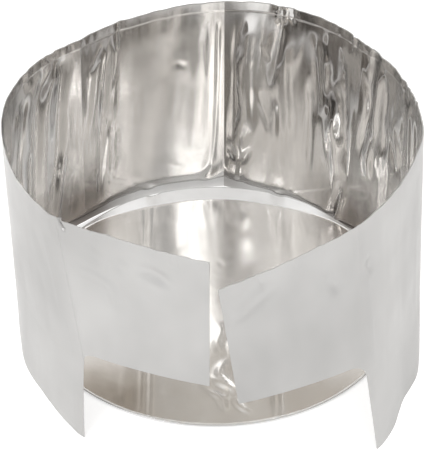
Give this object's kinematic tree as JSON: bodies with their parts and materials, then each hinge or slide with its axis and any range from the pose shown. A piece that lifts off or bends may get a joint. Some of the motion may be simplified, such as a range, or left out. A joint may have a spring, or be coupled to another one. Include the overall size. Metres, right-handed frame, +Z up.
{
  "type": "stove windscreen",
  "caption": "Folding foil stove windscreen: a creased strip stands as an open ring, with front wings above a fuel-line gap, round a foil reflector disc.",
  "frame": {"origin": "middle of the reflector, on the ground", "axes": "+Z up, -Y to the front where the wings nearly meet, +X to the right seen from the front"},
  "size_m": [0.2261, 0.2496, 0.1272],
  "materials": {
    "screen_foil": "satin outside, bright and crinkled inside",
    "reflector_foil": "bright"
  },
  "bodies": {
    "reflector": {"reflector_centre": "reflector_foil"},
    "left_leaf": {"reflector_left_leaf": "reflector_foil"},
    "right_leaf": {"reflector_right_leaf": "reflector_foil"},
    "back_left": {"back_left_panel": "screen_foil"},
    "left_side": {"left_side_panel": "screen_foil"},
    "left_leg": {"left_leg_panel": "screen_foil"},
    "left_wing": {"left_wing_panel": "screen_foil"},
    "back_right": {"back_right_panel": "screen_foil"},
    "right_side": {"right_side_panel": "screen_foil"},
    "right_leg": {"right_leg_panel": "screen_foil"},
    "right_wing": {"right_wing_panel": "screen_foil"}
  },
  "joints": [
    {"name": "screen_lift", "type": "slide", "parent": "reflector", "child": "back_left", "axis": [0, 0, 1], "range_m": [0, 0.15]},
    {"name": "left_back_crease", "type": "hinge", "parent": "back_left", "child": "left_side", "pos_m": [-0.07373, 0.07317, 0], "axis": [0, 0, -1], "range_deg": [0, 37.5]},
    {"name": "left_crease", "type": "hinge", "parent": "left_side", "child": "left_leg", "pos_m": [-0.10683, -0.00172, 0], "axis": [0.051, -0.0033, -0.9987], "range_deg": [0, 48.5]},
    {"name": "left_front_crease", "type": "hinge", "parent": "left_leg", "child": "left_wing", "pos_m": [-0.0831, -0.08212, 0.127], "axis": [0.1591, -0.2143, -0.9637], "range_deg": [-60, 110]},
    {"name": "back_crease", "type": "hinge", "parent": "back_left", "child": "back_right", "pos_m": [0.005, 0.10905, 0], "axis": [0, 0, 1], "range_deg": [0, 150]},
    {"name": "right_back_crease", "type": "hinge", "parent": "back_right", "child": "right_side", "pos_m": [0.07602, 0.06711, 0], "axis": [0.0324, 0.0287, 0.9991], "range_deg": [0, 43]},
    {"name": "right_crease", "type": "hinge", "parent": "right_side", "child": "right_leg", "pos_m": [0.11157, -0.0102, 0], "axis": [-0.0157, 0.0007, 0.9999], "range_deg": [0, 45]},
    {"name": "right_front_crease", "type": "hinge", "parent": "right_leg", "child": "right_wing", "pos_m": [0.07285, -0.08888, 0.127], "axis": [-0.0711, 0.2396, 0.9683], "range_deg": [-8, 110]},
    {"name": "left_leaf_fold", "type": "hinge", "parent": "reflector", "child": "left_leaf", "pos_m": [-0.035, 0, 0.0006], "axis": [0, 1, 0], "range_deg": [0, 170]},
    {"name": "right_leaf_fold", "type": "hinge", "parent": "reflector", "child": "right_leaf", "pos_m": [0.035, 0, 0.0006], "axis": [0, -1, 0], "range_deg": [0, 105]}
  ]
}
